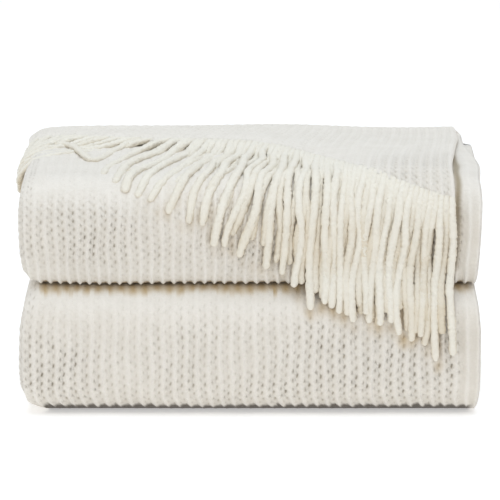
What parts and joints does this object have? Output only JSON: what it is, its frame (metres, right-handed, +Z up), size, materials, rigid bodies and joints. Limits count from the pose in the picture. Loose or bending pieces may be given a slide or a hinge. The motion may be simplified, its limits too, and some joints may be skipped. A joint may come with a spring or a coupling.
{
  "type": "throw blanket",
  "caption": "Chenille throw blanket folded into a two-tier bundle, ribbed all over, with a fringed end laid over the top and down the front.",
  "frame": {"origin": "middle of the underside, at the bottom centre of the bounding box", "axes": "+Z up, +X along the folds to the viewer's right, +Y from the front bends towards the back"},
  "size_m": [0.3186, 0.214, 0.17],
  "materials": {
    "chenille": "matte",
    "fringe_yarn": "matte"
  },
  "bodies": {
    "root": {"blanket": "chenille", "fringe": "fringe_yarn"}
  },
  "joints": []
}
